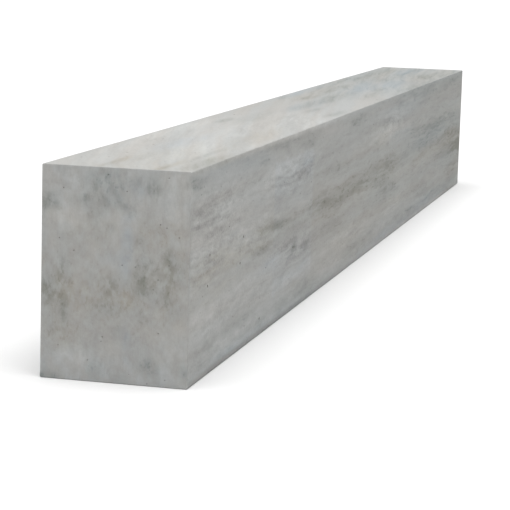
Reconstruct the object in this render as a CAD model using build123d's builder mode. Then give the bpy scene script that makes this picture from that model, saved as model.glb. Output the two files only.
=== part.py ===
from build123d import *

import os

# Precast concrete lintel: one solid beam of rectangular section, cast in one piece.
# Millimetres. X runs along the span, Y across the wall and Z up.
# The origin is at the middle of the soffit, the face that bears on the wall at both ends.

# Driving dimensions
lintel_length = 1200.0  # end to end, over both bearings
lintel_width = 100.0  # across the wall, for a leaf of 100 mm blockwork
lintel_height = 140.0  # soffit to top
mould_arris = 1.2  # radius that the mould leaves along the four long edges
end_arris = 0.8  # radius round each end face, where the stop end met the mould

with BuildPart() as lintel:
    # The section stands on its soffit, and is drawn in the plane of one end face.
    with BuildSketch(Plane.YZ.offset(-lintel_length / 2)):
        RectangleRounded(lintel_width, lintel_height, mould_arris, align=(Align.CENTER, Align.MIN))
    extrude(amount=lintel_length)

    # The long edges have their arris from the section, which leaves the rims of the two end faces.
    end_faces = lintel.faces().filter_by(Axis.X)
    fillet(end_faces.edges(), radius=end_arris)

lintel.part.label = "lintel"

os.makedirs("parts", exist_ok=True)
export_step(lintel.part, "parts/lintel.step")
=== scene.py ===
import math
import random

import bpy
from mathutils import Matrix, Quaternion, Vector, noise


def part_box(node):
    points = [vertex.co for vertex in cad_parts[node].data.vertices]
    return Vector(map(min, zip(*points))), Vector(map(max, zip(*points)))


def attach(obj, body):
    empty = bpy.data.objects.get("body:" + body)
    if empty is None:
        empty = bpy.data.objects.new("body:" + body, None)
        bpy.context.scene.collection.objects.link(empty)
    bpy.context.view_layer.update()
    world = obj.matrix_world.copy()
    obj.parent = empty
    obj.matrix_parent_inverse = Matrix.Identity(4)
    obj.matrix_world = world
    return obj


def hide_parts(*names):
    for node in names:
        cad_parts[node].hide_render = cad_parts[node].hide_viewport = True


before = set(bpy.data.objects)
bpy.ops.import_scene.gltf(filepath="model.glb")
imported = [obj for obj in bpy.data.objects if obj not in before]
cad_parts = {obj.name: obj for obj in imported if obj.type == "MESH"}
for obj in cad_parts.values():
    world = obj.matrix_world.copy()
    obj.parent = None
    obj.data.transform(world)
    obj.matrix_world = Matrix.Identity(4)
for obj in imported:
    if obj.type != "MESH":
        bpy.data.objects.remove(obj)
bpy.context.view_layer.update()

# A precast concrete lintel on a pale studio floor.
# Metres: X along the span, Y across the wall, Z up, origin at the middle of the soffit.

low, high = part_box("lintel")


# where the camera stands and what it aims at, in metres
cameraView = {
    "place": (-1.744, -0.376, 0.278),
    "aim": (-0.6, -0.092, 0.090),
    "roll": 1.69,  # degrees, the camera was held a little off level
    "lens": 134.9,
}


def setCamera():
    cameraData = bpy.data.cameras.new("studioCamera")
    camera = bpy.data.objects.new("studioCamera", cameraData)
    bpy.context.collection.objects.link(camera)
    place = Vector(cameraView["place"])
    look = (Vector(cameraView["aim"]) - place).to_track_quat("-Z", "Y")
    camera.location = place
    camera.rotation_mode = "QUATERNION"
    camera.rotation_quaternion = look @ Quaternion((0, 0, 1), math.radians(cameraView["roll"]))
    cameraData.lens = cameraView["lens"]
    cameraData.sensor_width = 36
    cameraData.clip_start = 0.05
    cameraData.clip_end = 200
    bpy.context.scene.camera = camera


studio = {
    "floorSize": 160,
    "floorColour": (0.8, 0.8, 0.8, 1),
    "floorRoughness": 0.9,
    "floorShine": 0.1,
    "skyLight": 0.30,  # soft light from all round
    "backdrop": 1.0,  # how bright the sky itself looks behind the floor
    "overheadLight": 3.6,
    "overheadSpread": 60,  # degrees, wide enough that the shadow has no edge
    "overheadTilt": (4, -6),  # degrees about X and Y
}


def setFloor():
    bpy.ops.object.select_all(action="DESELECT")
    bpy.ops.mesh.primitive_plane_add(size=studio["floorSize"])
    floor = bpy.context.object
    floor.name = "studioFloor"
    floorPaint = bpy.data.materials.new("floorPaint")
    floorPaint.use_nodes = True
    paint = floorPaint.node_tree.nodes["Principled BSDF"]
    paint.inputs["Base Color"].default_value = studio["floorColour"]
    paint.inputs["Roughness"].default_value = studio["floorRoughness"]
    paint.inputs["Specular IOR Level"].default_value = studio["floorShine"]
    floor.data.materials.append(floorPaint)


def setLight():
    world = bpy.data.worlds.new("studioSky")
    world.use_nodes = True
    nodes = world.node_tree.nodes
    links = world.node_tree.links
    nodes.clear()
    soft = nodes.new("ShaderNodeBackground")
    soft.inputs["Strength"].default_value = studio["skyLight"]
    backdrop = nodes.new("ShaderNodeBackground")
    backdrop.inputs["Strength"].default_value = studio["backdrop"]
    for sky in (soft, backdrop):
        sky.inputs["Color"].default_value = (1, 1, 1, 1)
    rays = nodes.new("ShaderNodeLightPath")
    either = nodes.new("ShaderNodeMixShader")
    output = nodes.new("ShaderNodeOutputWorld")
    links.new(rays.outputs["Is Camera Ray"], either.inputs["Fac"])
    links.new(soft.outputs["Background"], either.inputs[1])
    links.new(backdrop.outputs["Background"], either.inputs[2])
    links.new(either.outputs["Shader"], output.inputs["Surface"])
    bpy.context.scene.world = world

    overhead = bpy.data.lights.new("overheadLight", "SUN")
    overhead.energy = studio["overheadLight"]
    overhead.angle = math.radians(studio["overheadSpread"])
    lamp = bpy.data.objects.new("overheadLight", overhead)
    bpy.context.collection.objects.link(lamp)
    tiltX, tiltY = studio["overheadTilt"]
    lamp.rotation_euler = (math.radians(tiltX), math.radians(tiltY), 0)
    lamp.location = (0, 0, 2)
    bpy.context.scene.view_settings.view_transform = "Standard"


setCamera()
setFloor()
setLight()
print("camera, floor and light are set")


# the block that the beam is cut from, and its edges
castBeam = {
    "longEdge": 0.0012,  # radius that the mould leaves along the beam
    "endEdge": 0.0008,  # radius round the two ends
    "edgeSteps": 3,
    "spanCells": (3, 100),  # the span is cut in 3, and each third in 100
    "widthCells": 40,
    "heightCells": 56,
}
touching = 0.0001  # metres, near enough to count as on a face


# enters edit mode with nothing selected but what is wanted
def editOnly(piece, kind, wanted):
    kinds = ("vertices", "edges", "polygons")
    bpy.context.tool_settings.mesh_select_mode = [name == kind for name in kinds]
    for name in kinds:
        group = getattr(piece.data, name)
        group.foreach_set("select", [False] * len(group))
    for item in getattr(piece.data, kind):
        item.select = wanted(item)
    bpy.ops.object.mode_set(mode="EDIT")


def runsAlong(piece, axis):
    def check(edge):
        start, end = (piece.data.vertices[i].co for i in edge.vertices)
        return abs(end[axis] - start[axis]) > touching
    return check


def cutAlong(piece, axis, cells):
    editOnly(piece, "edges", runsAlong(piece, axis))
    bpy.ops.mesh.subdivide(number_cuts=cells - 1)
    bpy.ops.object.mode_set(mode="OBJECT")


def onLongEdge(piece):
    def check(edge):
        start, end = (piece.data.vertices[i].co for i in edge.vertices)
        atSide = all(min(p.y - low.y, high.y - p.y) < touching for p in (start, end))
        atTop = all(min(p.z - low.z, high.z - p.z) < touching for p in (start, end))
        return atSide and atTop
    return check


def makeBeam():
    size = high - low
    bpy.ops.object.select_all(action="DESELECT")
    bpy.ops.mesh.primitive_cube_add(size=1, location=(low + high) / 2, scale=size)
    beam = bpy.context.object
    beam.name = "castBeam"
    bpy.ops.object.transform_apply(location=True, rotation=True, scale=True)
    for cells in castBeam["spanCells"]:
        cutAlong(beam, 0, cells)
    cutAlong(beam, 1, castBeam["widthCells"])
    cutAlong(beam, 2, castBeam["heightCells"])

    editOnly(beam, "edges", onLongEdge(beam))
    bpy.ops.mesh.bevel(offset=castBeam["longEdge"], segments=castBeam["edgeSteps"], profile=0.5)
    bpy.ops.object.mode_set(mode="OBJECT")
    editOnly(beam, "polygons", lambda face: abs(face.normal.x) > 0.99)
    bpy.ops.mesh.region_to_loop()
    bpy.ops.mesh.bevel(offset=castBeam["endEdge"], segments=castBeam["edgeSteps"], profile=0.5)
    bpy.ops.object.mode_set(mode="OBJECT")
    return beam


beam = makeBeam()
print("the beam is cut from its block:", len(beam.data.polygons), "faces")

# Each side takes a strip of the map, one above the other, and the two ends share the strip on top.
mapStrips = {
    "gap": 0.004,
    "endHeight": 0.2,
}


# unrolls the beam onto its own map
def layMap(piece):
    mesh = piece.data
    while mesh.uv_layers:
        mesh.uv_layers.remove(mesh.uv_layers[0])
    layer = mesh.uv_layers.new(name="OFBake")
    size = high - low
    gap = mapStrips["gap"]
    endStrip = mapStrips["endHeight"]
    across = (1 - endStrip - 6 * gap) / (2 * size.y + 2 * size.z)
    sideStart = {"front": gap, "top": 2 * gap + size.z * across}
    sideStart["back"] = sideStart["top"] + gap + size.y * across
    sideStart["soffit"] = sideStart["back"] + gap + size.z * across
    endStart = 1 - endStrip
    for face in mesh.polygons:
        normal = face.normal
        biggest = max(range(3), key=lambda axis: abs(normal[axis]))
        for corner in face.loop_indices:
            place = mesh.vertices[mesh.loops[corner].vertex_index].co - low
            along = gap + (1 - 2 * gap) * place.x / size.x
            if biggest == 0:
                half = 0 if normal.x < 0 else 0.5
                u = half + gap + (0.5 - 2 * gap) * place.z / size.z
                v = endStart + (endStrip - 2 * gap) * place.y / size.y
            elif biggest == 1:
                u = along
                v = sideStart["front" if normal.y < 0 else "back"] + place.z * across
            else:
                u = along
                v = sideStart["soffit" if normal.z < 0 else "top"] + place.y * across
            layer.data[corner].uv = (u, v)


layMap(beam)
print("the map is laid")

# Waves that the mould, the float and the shrinking of the skin leave. Depths only go inwards.
waves = [
    {"name": "mouldWave", "grain": 0.09, "stretch": 4, "turn": 0, "depth": 0.0004, "group": "skin"},
    {"name": "skinRipple", "grain": 0.011, "stretch": 2, "turn": 0, "depth": 0.00012, "group": "skin"},
    {"name": "floatMarks", "grain": 0.007, "stretch": 9, "turn": 12, "depth": 0.00035, "group": "topFace"},
]
straightRim = 0.006  # the rim that stands on the floor stays straight


def addWaves(piece):
    points = piece.data.vertices
    topFace = piece.vertex_groups.new(name="topFace")
    topFace.add([point.index for point in points if point.co.z > high.z - touching], 1.0, "REPLACE")
    skin = piece.vertex_groups.new(name="skin")
    for point in points:
        inside = min(min(point.co[i] - low[i], high[i] - point.co[i]) for i in (0, 1))
        fromRim = max(inside, point.co.z - low.z)
        skin.add([point.index], min(fromRim / straightRim, 1.0), "REPLACE")
    for wave in waves:
        turn = math.radians(wave["turn"])
        bpy.ops.object.empty_add(location=(0, 0, 0), rotation=(0, 0, turn))
        ruler = bpy.context.object
        ruler.scale = (wave["stretch"], 1, 1)
        texture = bpy.data.textures.new(wave["name"], "CLOUDS")
        texture.noise_scale = wave["grain"]
        texture.noise_depth = 2
        bpy.context.view_layer.objects.active = piece
        push = piece.modifiers.new(wave["name"], "DISPLACE")
        push.texture = texture
        push.texture_coords = "OBJECT"
        push.texture_coords_object = ruler
        push.mid_level = 1.0
        push.strength = wave["depth"]
        push.vertex_group = wave["group"]
        bpy.ops.object.modifier_apply(modifier=push.name)
        bpy.data.objects.remove(ruler)
        bpy.data.textures.remove(texture)


addWaves(beam)
print("the skin is waved")

# Air holes that the mould leaves, from pinholes to the few big ones. Places are in millimetres:
# on the near end across and up, on the front side along from the near end and up.
airHoles = [
    {"radius": 0.0004, "depth": 0.0004, "count": 380},
    {"radius": 0.0005, "depth": 0.0005, "count": 200},
    {"radius": 0.0007, "depth": 0.0007, "count": 90},
    {"radius": 0.0009, "depth": 0.0010, "count": 16},
]
placedHoles = [
    {"face": "end", "radius": 0.0005, "depth": 0.0004, "places": [
        (4, 136), (34, 124), (-7, 126), (-35, 137), (-31, 104), (38, 92), (27, 85), (-43, 97),
        (-5, 78), (-31, 36), (38, 23), (-35, 3), (7, 30)]},
    {"face": "side", "radius": 0.0011, "depth": 0.0012, "places": [
        (50, 81), (45, 60), (135, 79), (128, 62), (190, 12)]},
    {"face": "side", "radius": 0.0012, "depth": 0.0016, "places": [(293, 50), (298, 50)]},
]
roundHole = 0.086  # the bevel profile that turns a square of four cells into a round hole
clearOfEdges = 0.004
holeSeed = 7


# the points of the skin that a hole may be sunk at, clear of the edges and of the other holes
def freePoints(piece):
    free = []
    for point in piece.data.vertices:
        inside = [min(point.co[i] - low[i], high[i] - point.co[i]) for i in range(3)]
        flat = max(abs(n) for n in point.normal) > 0.995
        if flat and sorted(inside)[1] > clearOfEdges:
            free.append(point)
    return free


def sinkHoles(piece, chosen, hole, holeSlot):
    editOnly(piece, "vertices", lambda point: point.index in chosen)
    bpy.ops.mesh.bevel(affect="VERTICES", offset=hole["radius"], segments=2, profile=roundHole)
    bpy.ops.mesh.select_mode(type="FACE")
    # the hole's faces take the darker concrete, partly dust and partly painted shade
    piece.active_material_index = holeSlot
    bpy.ops.object.material_slot_assign()
    bpy.ops.mesh.inset(thickness=hole["radius"] * 0.2, depth=-hole["depth"] * 0.6)
    bpy.ops.mesh.inset(thickness=hole["radius"] * 0.35, depth=-hole["depth"] * 0.4)
    bpy.ops.object.mode_set(mode="OBJECT")


def sinkPlacedHoles(piece, holeSlot):
    for hole in placedHoles:
        free = freePoints(piece)
        chosen = set()
        for first, up in hole["places"]:
            wanted = Vector((low.x, first / 1000, up / 1000))
            if hole["face"] == "side":
                wanted = Vector((low.x + first / 1000, low.y, up / 1000))
            chosen.add(min(free, key=lambda point: (point.co - wanted).length).index)
        sinkHoles(piece, chosen, hole, holeSlot)


def sinkScatteredHoles(piece, holeSlot):
    chance = random.Random(holeSeed)
    for hole in airHoles:
        # the near end has only the holes that are placed on it
        free = [point.index for point in freePoints(piece) if point.co.x > low.x + 0.01]
        sinkHoles(piece, set(chance.sample(free, hole["count"])), hole, holeSlot)


# Stains and painted shading: kind, the two numbers of its place, the two of its reach, all in millimetres,
# and strength.
# On an end the place is across and up from the middle of the soffit's edge.
# On the front side it is along from the near end and up, and on the top along and across.
endStainsAndShading = [
    ("dark", 45, 116, 7, 6, 0.85),
    ("dark", 27, 118, 4, 5, 0.35),
    ("dark", 19, 118, 3, 3, 1.0),
    ("dark", 5, 127, 17, 12, 0.55),
    ("dark", 10, 130, 6, 5, 0.4),
    ("dark", 12, 124, 5, 4, 0.3),
    ("dark", 0, 116, 8, 4, 0.35),
    ("dark", -9, 113, 5, 3, 0.55),
    ("dark", -13, 132, 3, 4, 0.45),
    ("dark", -25, 128, 6, 5, 0.9),
    ("dark", -26, 134, 5, 4, 0.3),
    ("dark", -43, 129, 5, 5, 0.3),
    ("dark", -49, 132, 3, 4, 0.6),
    ("dark", 13, 107, 5, 6, 0.35),
    ("dark", 4, 101, 3, 3, 0.35),
    ("dark", -16, 94, 3, 4, 0.3),
    ("dark", -20, 70, 9, 11, 0.45),
    ("dark", -18, 70, 4, 3, 0.9),
    ("dark", -19, 62, 5, 4, 0.5),
    ("dark", -19, 79, 5, 4, 0.35),
    ("dark", -29, 75, 6, 5, 0.3),
    ("dark", -36, 84, 4, 7, 0.6),
    ("dark", -35, 57, 4, 7, 0.55),
    ("dark", -38, 70, 4, 9, 0.3),
    ("dark", 45, 58, 9, 10, 0.7),
    ("dark", 35, 72, 5, 9, 0.6),
    ("dark", -43, 73, 8, 8, 0.3),
    ("dark", 35, 46, 4, 8, 0.8),
    ("dark", 3, 63, 6, 7, 0.5),
    ("dark", 4, 49, 10, 4, 0.3),
    ("dark", -3, 36, 5, 4, 0.25),
    ("dark", -17, 45, 4, 7, 0.25),
    ("dark", -24, 13, 6, 5, 0.9),
    ("dark", -25, 9, 5, 4, 0.35),
    ("dark", 14, 8, 6, 5, 0.5),
    ("dark", -43, 13, 5, 5, 0.3),
    ("dark", -49, 10, 3, 4, 0.7),
    ("dark", 44, 2, 9, 3, 0.9),
    ("dark", -5, 2, 6, 4, 0.4),
    ("brown", 34, 58, 6, 14, 0.7),
    ("brown", -37, 68, 5, 14, 0.6),
    ("brown", -7, 57, 8, 8, 0.8),
    ("brown", -20, 68, 8, 8, 0.5),
    ("brown", 45, 56, 8, 8, 0.6),
    ("brown", 12, 56, 26, 12, 0.5),
    ("brown", 20, 97, 16, 9, 0.2),
    ("brown", -22, 99, 12, 9, 0.4),
    ("brown", -40, 90, 12, 22, 0.3),
    ("brown", 36, 30, 14, 11, 0.5),
    ("dark", 40, 34, 10, 11, 0.15),
    ("brown", -35, 44, 14, 12, 0.3),
    ("brown", 0, 62, 70, 50, 0.25),
    ("cool", -8, 92, 4, 24, 0.9),
    ("cool", -8, 28, 3, 16, 0.7),
    ("cool", -3, 80, 9, 8, 0.4),
    ("cool", -14, 126, 6, 5, 0.4),
    ("cool", 0, 128, 30, 14, 0.2),
    ("cool", 0, 8, 60, 14, 0.3),
    ("pale", 27, 129, 7, 9, 0.8),
    ("pale", 33, 106, 13, 8, 0.7),
    ("pale", -38, 114, 11, 8, 0.85),
    ("pale", 42, 131, 6, 7, 0.45),
    ("pale", 30, 118, 7, 5, 0.5),
    ("pale", -39, 129, 12, 9, 0.8),
    ("pale", 3, 104, 13, 12, 0.5),
    ("pale", -38, 30, 10, 10, 0.25),
    ("pale", 25, 17, 12, 8, 0.7),
    ("pale", -37, 14, 12, 8, 0.6),
    ("pale", -1, 16, 8, 9, 0.45),
    ("pale", 19, 59, 4, 4, 0.4),
    # painted light: a paler band along the foot of the end, against the shade that falls near the floor
    ("pale", 0, 6, 70, 14, 0.25),
    ("pale", 0, 134, 70, 12, 0.2),
]
sideStainsAndShading = [
    ("dark", 150, 134, 150, 6, 0.3),
    ("dark", 10, 131, 24, 3.2, 1.0),
    ("dark", 6, 130, 14, 3, 0.9),
    ("dark", 38, 122, 26, 2, 0.5),
    ("dark", 193, 128, 16, 2.5, 0.55),
    ("dark", 232, 136, 32, 3.2, 1.0),
    ("dark", 263, 132, 9, 6, 0.6),
    ("dark", 330, 132, 50, 7, 0.4),
    ("dark", 346, 126, 18, 2.5, 0.6),
    ("dark", 165, 115, 14, 2, 0.3),
    ("dark", 210, 76, 40, 6, 0.6),
    ("dark", 250, 74, 30, 4, 0.5),
    ("dark", 190, 63, 34, 4, 0.4),
    ("dark", 262, 80, 40, 4, 0.3),
    ("pale", 300, 47, 80, 7, 0.5),
    ("dark", 336, 46, 12, 6, 0.4),
    ("dark", 295, 50, 10, 4, 0.9),
    ("dark", 45, 20, 26, 3, 0.5),
    ("dark", 130, 22, 40, 4, 0.35),
    ("dark", 60, 9, 120, 3, 0.25),
    ("dark", 190, 11, 16, 4, 0.5),
    ("dark", 250, 12, 22, 5, 0.5),
    ("dark", 335, 12, 40, 6, 0.45),
    ("dark", 390, 4, 40, 5, 0.15),
    ("dark", 400, 74, 44, 9, 0.45),
    ("dark", 475, 72, 26, 4, 0.9),
    ("dark", 470, 65, 34, 5, 0.5),
    ("dark", 560, 74, 24, 4, 0.5),
    ("dark", 520, 71, 150, 9, 0.7),
    ("dark", 840, 70, 90, 10, 0.4),
    ("dark", 560, 91, 90, 8, 0.2),
    ("dark", 860, 86, 60, 7, 0.2),
    ("dark", 560, 134, 90, 5, 0.25),
    ("dark", 648, 61, 24, 5, 0.7),
    ("dark", 690, 65, 55, 13, 0.55),
    ("dark", 712, 76, 30, 6, 0.6),
    ("dark", 430, 50, 50, 8, 0.25),
    ("dark", 430, 95, 70, 7, 0.3),
    ("dark", 290, 90, 60, 7, 0.3),
    ("dark", 540, 129, 34, 5, 0.9),
    ("dark", 615, 128, 24, 3, 0.3),
    ("dark", 632, 102, 14, 2, 0.6),
    ("dark", 680, 50, 70, 9, 0.55),
    ("dark", 740, 46, 24, 5, 0.35),
    ("dark", 770, 132, 40, 7, 0.4),
    ("dark", 780, 98, 60, 4, 0.35),
    ("dark", 545, 14, 60, 5, 0.45),
    ("dark", 614, 18, 14, 2.5, 0.55),
    ("dark", 760, 13, 50, 4, 0.2),
    ("dark", 838, 134, 28, 4, 1.0),
    ("dark", 930, 133, 70, 7, 0.5),
    ("dark", 900, 123, 60, 4, 0.3),
    ("dark", 858, 97, 34, 6, 0.6),
    ("dark", 960, 88, 80, 10, 0.9),
    ("dark", 970, 77, 36, 4, 0.65),
    ("dark", 1040, 93, 36, 5, 0.8),
    ("dark", 1020, 72, 130, 11, 0.48),
    ("dark", 975, 91, 120, 9, 0.5),
    ("dark", 1030, 52, 40, 6, 0.2),
    ("dark", 925, 24, 60, 7, 0.35),
    ("dark", 840, 12, 30, 3, 0.75),
    ("dark", 1000, 13, 90, 4, 0.65),
    ("dark", 1090, 134, 110, 8, 0.6),
    ("dark", 1105, 55, 60, 10, 0.3),
    ("dark", 1110, 94, 70, 8, 0.4),
    ("dark", 1170, 50, 50, 6, 0.9),
    ("dark", 1160, 55, 90, 30, 0.45),
    ("dark", 1120, 12, 60, 6, 0.3),
    # painted shade: the side grows darker towards the far end, where less light falls
    ("dark", 1200, 70, 460, 130, 0.33),
    ("brown", 60, 70, 90, 10, 0.55),
    ("brown", 60, 53, 90, 8, 0.35),
    ("brown", 240, 70, 130, 11, 0.6),
    ("brown", 500, 70, 150, 12, 0.55),
    ("brown", 476, 73, 22, 3, 0.7),
    ("brown", 700, 72, 60, 12, 0.7),
    ("brown", 560, 60, 260, 50, 0.25),
    ("brown", 900, 64, 70, 6, 0.6),
    ("brown", 1020, 62, 70, 6, 0.5),
    ("brown", 1110, 66, 60, 12, 0.7),
    ("brown", 1180, 52, 60, 14, 0.8),
    ("brown", 1150, 28, 60, 10, 0.45),
    ("brown", 880, 50, 160, 24, 0.2),
    ("cool", 338, 111, 20, 9, 0.6),
    ("cool", 336, 30, 22, 9, 0.6),
    ("cool", 110, 3, 220, 6, 0.65),
    ("cool", 120, 133, 150, 6, 0.3),
    ("cool", 215, 49, 30, 6, 0.6),
    ("cool", 700, 5, 140, 6, 0.6),
    ("cool", 960, 8, 140, 8, 0.6),
    ("cool", 960, 80, 100, 12, 0.4),
    ("cool", 780, 98, 70, 6, 0.5),
    ("cool", 800, 128, 140, 14, 0.3),
    ("pale", 60, 107, 75, 14, 0.9),
    ("pale", 60, 89, 75, 9, 0.8),
    ("pale", 30, 74, 50, 10, 0.4),
    ("pale", 110, 75, 120, 10, 0.75),
    ("pale", 110, 36, 130, 13, 0.35),
    ("pale", 285, 110, 90, 13, 0.95),
    ("pale", 290, 54, 70, 7, 0.6),
    ("pale", 245, 33, 70, 12, 0.1),
    # painted light: a paler band along the foot of the side, against the shade that falls near the floor
    ("pale", 600, 5, 900, 14, 0.3),
    # these two make the side paler just above the floor
    ("pale", 60, 12, 100, 6, 0.5),
    ("pale", 425, 12, 60, 7, 0.3),
    ("pale", 700, 112, 100, 13, 0.9),
    ("pale", 520, 30, 120, 8, 0.55),
    ("pale", 740, 30, 60, 8, 0.5),
]
topStainsAndShading = [
    ("dark", 55, -44, 50, 8, 0.55),
    ("dark", 105, -31, 45, 2.5, 0.5),
    ("dark", 26, 12, 20, 2, 0.35),
    ("dark", 182, 33, 14, 2, 0.35),
    ("dark", 14, -27, 14, 2, 0.35),
    ("dark", 50, 6, 40, 6, 0.2),
    ("dark", 365, 28, 26, 5, 0.6),
    ("dark", 410, 14, 70, 9, 0.3),
    ("dark", 432, -11, 24, 3, 0.35),
    ("dark", 485, -41, 34, 6, 0.6),
    ("dark", 555, 2, 60, 9, 0.5),
    ("dark", 510, -15, 30, 4, 0.55),
    ("dark", 620, -7, 34, 5, 0.5),
    ("dark", 680, 1, 70, 9, 0.6),
    ("dark", 385, 4, 50, 6, 0.15),
    ("dark", 985, 3, 70, 9, 0.5),
    ("dark", 860, 40, 90, 7, 0.3),
    ("dark", 650, 22, 34, 5, 0.45),
    ("dark", 645, 42, 40, 6, 0.35),
    ("dark", 720, -28, 50, 5, 0.45),
    ("dark", 790, 23, 60, 8, 0.55),
    ("dark", 812, -21, 34, 5, 0.75),
    ("dark", 940, 39, 80, 7, 0.6),
    ("dark", 900, -46, 120, 8, 0.45),
    ("dark", 1060, 0, 60, 8, 0.45),
    ("dark", 1060, -28, 70, 10, 0.55),
    ("dark", 1110, 38, 90, 10, 0.6),
    ("dark", 1150, 2, 40, 6, 0.5),
    ("dark", 1110, -39, 90, 9, 0.85),
    # painted shade: the top grows darker towards the far end, where less light falls
    ("dark", 1020, 0, 380, 140, 0.46),
    ("brown", 34, 12, 40, 3.5, 0.8),
    ("brown", 26, -27, 34, 3.5, 0.8),
    ("brown", 60, -42, 60, 8, 0.4),
    ("brown", 230, -33, 90, 12, 0.4),
    ("brown", 650, 25, 50, 10, 0.35),
    ("brown", 770, 24, 70, 12, 0.5),
    ("brown", 1000, -28, 80, 10, 0.35),
    ("brown", 1030, 24, 130, 12, 0.4),
    ("brown", 560, 34, 120, 14, 0.15),
    ("brown", 60, -6, 110, 34, 0.25),
    ("cool", 175, 8, 60, 9, 0.5),
    ("cool", 560, 2, 70, 12, 0.4),
    ("cool", 830, -2, 100, 20, 0.8),
    ("cool", 900, -22, 90, 14, 0.6),
    ("cool", 1120, 4, 80, 16, 0.8),
    ("cool", 690, 44, 70, 8, 0.8),
    ("cool", 800, 43, 80, 8, 0.5),
    ("cool", 980, 0, 300, 120, 0.25),
    ("pale", 120, -14, 90, 16, 0.8),
    ("pale", 180, 18, 110, 18, 0.3),
    ("pale", 340, -14, 120, 22, 0.9),
    ("pale", 230, -40, 130, 9, 0.6),
    ("pale", 245, 38, 90, 9, 0.85),
    ("pale", 50, 39, 50, 9, 0.3),
    ("pale", 400, -30, 90, 17, 0.9),
    ("pale", 330, 42, 50, 10, 0.25),
    # painted light: the top is lighter at the near end, where more light falls
    ("pale", 180, 0, 260, 90, 0.35),
    ("pale", 40, -8, 80, 44, 0.25),
]
# where the mould's lining ended: kind, start and end along the side, bottom and top, strength
liningPatches = [
    ("pale", 0, 358, 22, 122, 0.2),
    ("pale", 260, 358, 96, 122, 0.3),
    ("pale", 260, 358, 22, 57, 0.2),
    ("cool", 225, 358, 22, 122, 0.35),
    ("brown", 358, 700, 20, 125, 0.08),
    ("dark", 358, 700, 20, 125, 0.06),
]


edgeOfFace = 0.003  # metres, how deep the skin of an end, the top or the soffit goes
sway = {
    "grain": 110,
    "reach": 2.2,  # millimetres
    "alongBeam": 3,  # times as far along the beam
    "seed": 7,
}


# adds one more mark over those that are there already, stains and painted shading alike
def soakIn(kinds, kind, amount):
    kinds[kind] = 1 - (1 - kinds[kind]) * (1 - amount)


# The colour of each point's stains and painted shading: red is dark, green is brown, blue is cool and
# alpha is pale.
def stainAndShadingAt(stains, across, up):
    kinds = {"dark": 0, "brown": 0, "cool": 0, "pale": 0}
    for kind, middleAcross, middleUp, reachAcross, reachUp, strength in stains:
        away = ((across - middleAcross) / reachAcross) ** 2 + ((up - middleUp) / reachUp) ** 2
        if away < 5:
            soakIn(kinds, kind, strength * math.exp(-0.9 * away ** 1.5))
    return kinds


def sideStainAndShadingAt(along, up, moved):
    kinds = stainAndShadingAt(sideStainsAndShading, along + moved.x, up + moved.z)
    for kind, start, end, bottom, top, strength in liningPatches:
        if start < along < end and bottom < up + moved.z < top:
            soakIn(kinds, kind, strength)
    return kinds


# A hidden face takes the stains and painted shading of the face that it backs on to, turned end for end.
def paintStainsAndShading(piece):
    mesh = piece.data
    paint = mesh.color_attributes.new(name="stains", type="FLOAT_COLOR", domain="POINT")
    noise.seed_set(sway["seed"])
    length = (high.x - low.x) * 1000
    height = (high.z - low.z) * 1000
    for point, colour in zip(mesh.vertices, paint.data):
        x, y, z = (point.co - low) * 1000
        y -= (high.y - low.y) * 500
        # takes the roundness off the stains and the painted shading
        moved = noise.noise_vector(point.co * sway["grain"]) * sway["reach"]
        moved.x *= sway["alongBeam"]
        if point.co.x < low.x + edgeOfFace:
            kinds = stainAndShadingAt(endStainsAndShading, y + moved.y, z + moved.z)
        elif point.co.x > high.x - edgeOfFace:
            kinds = stainAndShadingAt(endStainsAndShading, -y + moved.y, height - z + moved.z)
        elif point.co.z > high.z - edgeOfFace:
            kinds = stainAndShadingAt(topStainsAndShading, x + moved.x, y + moved.y)
        elif point.co.z < low.z + edgeOfFace:
            kinds = stainAndShadingAt(topStainsAndShading, length - x + moved.x, y + moved.y)
        elif y < 0:
            kinds = sideStainAndShadingAt(x, z, moved)
        else:
            kinds = sideStainAndShadingAt(length - x, height - z, moved)
        colour.color = list(kinds.values())


# what each kind of mark, stain and painted shading alike, does to the colour under it
stainAndShadingTints = {
    "Red": (0.66, 0.69, 0.67),
    "Green": (0.866, 0.823, 0.752),
    "Blue": (0.945, 1.0, 1.07),
    "Alpha": (1.15, 1.148, 1.14),
}

# Concrete. The size of a layer is the size of its marks along X, Y and Z in metres, and its weight
# is how far it moves the tone. At drawnOut metres from the near end the marks are twice as long.
sideConcrete = {
    "warm": (0.368, 0.364, 0.350),
    "cool": (0.358, 0.364, 0.357),
    "turn": 0,
    "drawnOut": 0.8,
    "layers": [
        {"size": (0.30, 0.030, 0.030), "weight": 0.13, "detail": 2},
        {"size": (0.12, 0.009, 0.009), "weight": 0.15, "detail": 3},
        {"size": (0.016, 0.0050, 0.0050), "weight": 0.125, "detail": 4},
        {"size": (0.0015, 0.0015, 0.0015), "weight": 0.09, "detail": 2},
    ],
    "paleMarks": 2.2,
    "breakUp": (0.055, 0.006, 0.006),
    "flecks": (0.009, 0.0026, 0.0026),
    "fleckStrength": 0.7,
    "patchiness": 0.7,
    "roughness": 0.84,
    "bump": 0.0003,
}
endConcrete = {
    "warm": (0.378, 0.374, 0.360),
    "cool": (0.368, 0.374, 0.368),
    "turn": 0,
    "drawnOut": 100,
    "layers": [
        {"size": (0.022, 0.022, 0.022), "weight": 0.17, "detail": 3},
        {"size": (0.006, 0.005, 0.007), "weight": 0.19, "detail": 4},
        {"size": (0.01, 0.0012, 0.016), "weight": 0.04, "detail": 2},
        {"size": (0.0015, 0.0015, 0.0015), "weight": 0.05, "detail": 2},
    ],
    "paleMarks": 0.3,
    "breakUp": (0.006, 0.005, 0.0075),
    "flecks": (0.0022, 0.0020, 0.0035),
    "fleckStrength": 0.6,
    "patchiness": 0.8,
    "roughness": 0.84,
    "bump": 0.0003,
}
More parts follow.
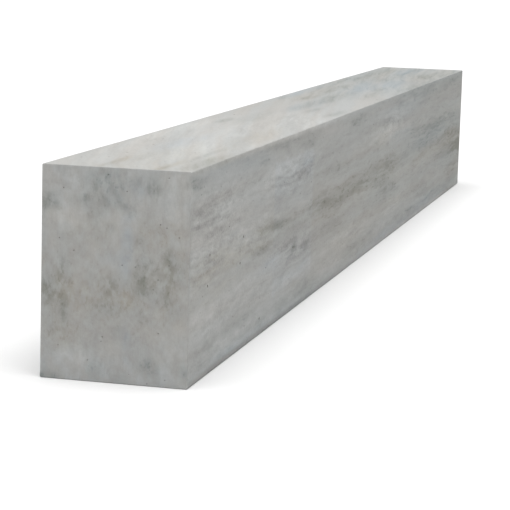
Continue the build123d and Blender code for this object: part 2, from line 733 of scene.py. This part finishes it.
topConcrete = {
    "warm": (0.399, 0.392, 0.375),
    "cool": (0.384, 0.390, 0.383),
    "turn": 16,
    "drawnOut": 0.8,
    "layers": [
        {"size": (0.35, 0.045, 0.045), "weight": 0.10, "detail": 2},
        {"size": (0.12, 0.010, 0.010), "weight": 0.075, "detail": 4},
        {"size": (0.04, 0.004, 0.004), "weight": 0.04, "detail": 3},
        {"size": (0.002, 0.002, 0.002), "weight": 0.05, "detail": 2},
    ],
    "paleMarks": 1.8,
    "breakUp": (0.05, 0.006, 0.006),
    "flecks": (0.032, 0.0028, 0.0028),
    "fleckStrength": 0.35,
    "patchiness": 0.65,
    "roughness": 0.9,
    "bump": 0.0004,
}
backConcrete = {
    "warm": (0.368, 0.364, 0.350),
    "cool": (0.358, 0.364, 0.357),
    "turn": 0,
    "drawnOut": 100,
    "layers": [
        {"size": (0.10, 0.035, 0.035), "weight": 0.13, "detail": 3},
        {"size": (0.035, 0.012, 0.012), "weight": 0.15, "detail": 4},
        {"size": (0.011, 0.005, 0.005), "weight": 0.14, "detail": 4},
        {"size": (0.0015, 0.0015, 0.0015), "weight": 0.09, "detail": 2},
    ],
    "paleMarks": 1.5,
    "breakUp": (0.020, 0.010, 0.010),
    "flecks": (0.006, 0.0032, 0.0032),
    "fleckStrength": 0.7,
    "patchiness": 0.8,
    "roughness": 0.84,
    "bump": 0.0003,
}
# the inside of the air holes is darker: partly dust, partly painted shade in the hollows
holeConcrete = dict(endConcrete, warm=(0.28, 0.27, 0.25), cool=(0.28, 0.28, 0.27))
drift = {
    "grain": 14,
    "reach": 0.010,  # metres that the marks are pushed out of line
}
breaks = (0.36, 0.64)  # the part of the noise where a stain breaks up
fleckRange = (0.55, 0.68)
fleckDark = 0.12
fineHoles = {
    "cells": 140,  # in a metre
    "few": 0.55,  # this share of the cells has none
    "radius": 0.09,  # of a cell
    # how far painted shade darkens a pinhole
    "dark": 0.3,
    "relief": 1.5,
}


def makeConcrete(name, look):
    material = bpy.data.materials.new(name)
    material.use_nodes = True
    tree = material.node_tree
    skin = tree.nodes["Principled BSDF"]

    def add(kind, inputs=(), **settings):
        node = tree.nodes.new(kind)
        for setting, value in settings.items():
            setattr(node, setting, value)
        for socket, value in dict(inputs).items():
            if isinstance(value, bpy.types.NodeSocket):
                tree.links.new(value, node.inputs[socket])
            else:
                node.inputs[socket].default_value = value
        return node

    def maths(operation, a, b, c=0):
        return add("ShaderNodeMath", {0: a, 1: b, 2: c}, operation=operation).outputs[0]

    def fade(value, start, end):
        sockets = {"Value": value, "From Min": start, "From Max": end}
        return add("ShaderNodeMapRange", sockets, interpolation_type="SMOOTHSTEP").outputs[0]

    def blend(kind, amount, a, b):
        sockets = {0: amount, 6: a, 7: b}
        node = add("ShaderNodeMix", sockets, data_type="RGBA", blend_type=kind, clamp_factor=True)
        return node.outputs[2]

    place = add("ShaderNodeTexCoord").outputs["Object"]
    wander = add("ShaderNodeTexNoise", {"Vector": place, "Scale": drift["grain"], "Detail": 2})
    push = {0: wander.outputs["Color"], 1: (0.5, 0.5, 0.5)}
    push = add("ShaderNodeVectorMath", push, operation="SUBTRACT").outputs[0]
    push = add("ShaderNodeVectorMath", {0: push, 3: drift["reach"]}, operation="SCALE").outputs[0]
    place = add("ShaderNodeVectorMath", {0: place, 1: push}, operation="ADD").outputs[0]

    # the marks grow longer along the beam, away from the near end
    parts = add("ShaderNodeSeparateXYZ", {"Vector": place})
    along = maths("MULTIPLY_ADD", parts.outputs["X"], 1 / look["drawnOut"], 1 - low.x / look["drawnOut"])
    along = maths("MULTIPLY", maths("LOGARITHM", along, math.e), look["drawnOut"])
    across = {"Y": parts.outputs["Y"], "Z": parts.outputs["Z"]}
    drawn = add("ShaderNodeCombineXYZ", {"X": along, **across}).outputs[0]

    def marks(size, detail):
        turned = add("ShaderNodeMapping", {"Vector": drawn, "Scale": size}, vector_type="TEXTURE")
        turned.inputs["Rotation"].default_value[2] = math.radians(look["turn"])
        return add("ShaderNodeTexNoise", {"Vector": turned.outputs[0], "Scale": 1, "Detail": detail,
                                          "Roughness": 0.6}).outputs["Fac"]

    layers = [marks(layer["size"], layer["detail"]) for layer in look["layers"]]
    weights = [layer["weight"] for layer in look["layers"]]
    tone = -sum(weights)
    for layer, weight in zip(layers, weights):
        tone = maths("MULTIPLY_ADD", layer, 2 * weight, tone)
    stains = add("ShaderNodeVertexColor", layer_name="stains")
    markStrength = maths("MULTIPLY_ADD", stains.outputs["Alpha"], look["paleMarks"], 1)
    tone = maths("MULTIPLY_ADD", tone, markStrength, 1)

    tintMarks = fade(marks([s * 2 for s in look["layers"][1]["size"]], 2), 0.35, 0.65)
    colour = blend("MIX", tintMarks, (*look["warm"], 1), (*look["cool"], 1))

    split = add("ShaderNodeSeparateColor", {"Color": stains.outputs["Color"]})
    broken = fade(marks(look["breakUp"], 5), *breaks)
    flecks = maths("MULTIPLY", fade(marks(look["flecks"], 2), *fleckRange), look["fleckStrength"])
    patchy = maths("MULTIPLY_ADD", flecks, 0.7, 0.8 - look["patchiness"] / 2)
    patchy = maths("MULTIPLY_ADD", broken, look["patchiness"], patchy)
    for channel, tint in stainAndShadingTints.items():
        source = stains if channel == "Alpha" else split
        amount = maths("MULTIPLY", source.outputs[channel], patchy)
        colour = blend("MULTIPLY", amount, colour, (*tint, 1))
    tone = maths("MULTIPLY_ADD", maths("MULTIPLY", flecks, broken), -fleckDark, tone)

    # pinholes too fine for the mesh: painted shade darkens them, and the bump sinks them
    cells = add("ShaderNodeTexVoronoi", {"Vector": place, "Scale": fineHoles["cells"]})
    cellColour = add("ShaderNodeSeparateColor", {"Color": cells.outputs["Color"]})
    holeSize = fade(cellColour.outputs["Red"], fineHoles["few"], 1)
    holeSize = maths("MULTIPLY", holeSize, fineHoles["radius"])
    pinholes = maths("LESS_THAN", cells.outputs["Distance"], holeSize)
    tone = maths("MULTIPLY_ADD", pinholes, -fineHoles["dark"], tone)

    colour = add("ShaderNodeVectorMath", {0: colour, 3: tone}, operation="SCALE").outputs[0]
    tree.links.new(colour, skin.inputs["Base Color"])

    rough = maths("MULTIPLY_ADD", layers[1], 0.2, look["roughness"] - 0.1)
    tree.links.new(rough, skin.inputs["Roughness"])

    relief = maths("MULTIPLY_ADD", layers[2], 0.5, maths("MULTIPLY", layers[3], 0.6))
    relief = maths("MULTIPLY_ADD", pinholes, -fineHoles["relief"], relief)
    bump = add("ShaderNodeBump", {"Height": relief, "Distance": look["bump"], "Strength": 0.6})
    tree.links.new(bump.outputs["Normal"], skin.inputs["Normal"])
    return material


looks = {
    "sideConcrete": sideConcrete,
    "endConcrete": endConcrete,
    "topConcrete": topConcrete,
    "backConcrete": backConcrete,
    "holeConcrete": holeConcrete,
}
slots = list(looks)
smoothUpTo = 40  # degrees


# the soffit has the same concrete as the back side
def concreteOf(face):
    biggest = max(range(3), key=lambda axis: abs(face.normal[axis]))
    if biggest == 0:
        return "endConcrete"
    if biggest == 1 and face.normal.y < 0:
        return "sideConcrete"
    if biggest == 2 and face.normal.z > 0:
        return "topConcrete"
    return "backConcrete"


for name, look in looks.items():
    beam.data.materials.append(makeConcrete(name, look))
for face in beam.data.polygons:
    face.material_index = slots.index(concreteOf(face))
sinkPlacedHoles(beam, slots.index("holeConcrete"))
sinkScatteredHoles(beam, slots.index("holeConcrete"))
paintStainsAndShading(beam)
bpy.ops.object.shade_smooth_by_angle(angle=math.radians(smoothUpTo))
print("holes and stains are in:", len(beam.data.polygons), "faces")

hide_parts("lintel")
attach(beam, "root")
